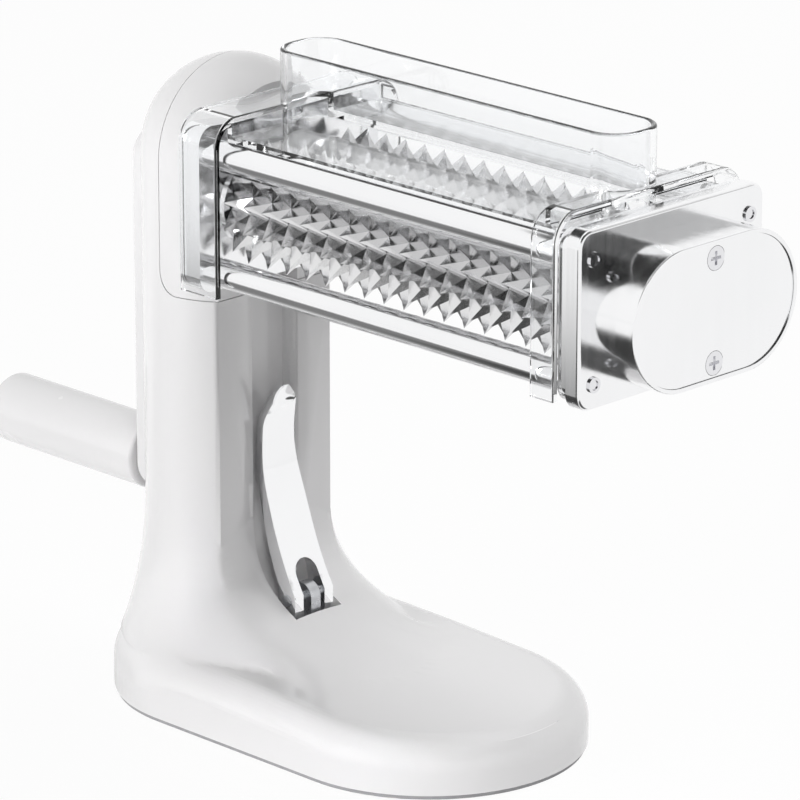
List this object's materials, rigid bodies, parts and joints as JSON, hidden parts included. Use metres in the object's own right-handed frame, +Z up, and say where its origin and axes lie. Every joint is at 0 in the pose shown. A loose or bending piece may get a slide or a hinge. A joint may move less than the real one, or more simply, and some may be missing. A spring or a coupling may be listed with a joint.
{
  "type": "crank meat tenderizer machine",
  "caption": "Hand-cranked meat tenderizer: a column stand with a suction foot carries two geared, spiked rollers under a clear feed chute.",
  "frame": {"origin": "on the table, at the middle of the suction cup's flat underside", "axes": "+Z up, +X along the rollers from the crank to the gear housing, -Y towards the side the picture was taken from"},
  "size_m": [0.3361, 0.108, 0.2324],
  "materials": {
    "white_gloss": "gloss",
    "foot_rubber": "matte",
    "steel": "brushed",
    "black_plastic": "matte",
    "bronze": "satin",
    "bright_steel": "polished",
    "nylon": "matte",
    "grip_white": "satin",
    "gear_steel": "machined",
    "gear_nylon": "matte",
    "roller_steel": "polished facets",
    "chrome": "mirror",
    "clear": "clear plastic, gloss",
    "cup_rubber": "matte"
  },
  "bodies": {
    "stand": {"stand_body": "white_gloss", "head_front_cap": "white_gloss", "foot_ring": "foot_rubber", "hub_sleeve": "steel", "rear_shaft_bush": "bronze", "hub_end_plate": "chrome", "input_bush": "bronze", "gear_case": "chrome", "gear_end_plate": "chrome", "hub_side_bushes": "nylon", "gear_side_bushes": "nylon", "tie_bars": "chrome", "tie_rivets": "bright_steel", "case_screws": "steel", "gear_housing": "chrome", "gear_cap": "chrome", "cap_screws": "bright_steel"},
    "crank": {"crank_shaft": "steel", "shaft_clip": "steel", "crank_arm": "white_gloss", "arm_screw": "bright_steel", "grip_pin": "steel", "input_pinion": "gear_steel"},
    "grip": {"crank_grip": "grip_white", "grip_washer": "nylon"},
    "drive": {"drive_roller": "roller_steel", "roller_gear": "gear_steel", "drive_gear": "gear_nylon", "drive_clip": "steel"},
    "driven": {"driven_roller": "roller_steel", "driven_gear": "gear_nylon", "driven_clip": "steel"},
    "suction": {"pull_stem": "steel", "cup_plate": "steel", "suction_cup": "cup_rubber", "lever_pin": "steel"},
    "lever": {"suction_lever": "chrome"},
    "cover": {"hopper_cover": "clear"},
    "knob": {"lock_knob": "black_plastic"}
  },
  "joints": [
    {"name": "crank_turn", "type": "hinge", "parent": "stand", "child": "crank", "pos_m": [0, 0, 0.18], "axis": [1, 0, 0], "continuous": true},
    {"name": "grip_spin", "type": "hinge", "parent": "crank", "child": "grip", "pos_m": [-0.1, 0, 0.07], "axis": [1, 0, 0], "continuous": true},
    {"name": "drive_roller_spin", "type": "hinge", "parent": "stand", "child": "drive", "pos_m": [0, 0.017, 0.18], "axis": [1, 0, 0], "continuous": true},
    {"name": "driven_roller_spin", "type": "hinge", "parent": "stand", "child": "driven", "pos_m": [0, -0.017, 0.18], "axis": [1, 0, 0], "continuous": true},
    {"name": "suction_pull", "type": "slide", "parent": "stand", "child": "suction", "axis": [0, 0, 1], "range_m": [0, 0.0035], "deforming": ["suction_cup"]},
    {"name": "lever_tilt", "type": "hinge", "parent": "suction", "child": "lever", "pos_m": [0.0015, 0, 0.037], "axis": [0, 1, 0], "range_deg": [0, 75]},
    {"name": "cover_lift", "type": "slide", "parent": "stand", "child": "cover", "axis": [0, 0, 1], "range_m": [0, 0.06]},
    {"name": "lock_knob_turn", "type": "hinge", "parent": "stand", "child": "knob", "pos_m": [-0.026, 0.04, 0.18], "axis": [0, 1, 0], "continuous": true}
  ],
  "couplings": [
    {"joint": "drive_roller_spin", "follows": "crank_turn", "ratio": -0.7},
    {"joint": "driven_roller_spin", "follows": "crank_turn", "ratio": 0.7},
    {"joint": "suction_pull", "follows": "lever_tilt", "m_per_rad": 0.0026738}
  ]
}
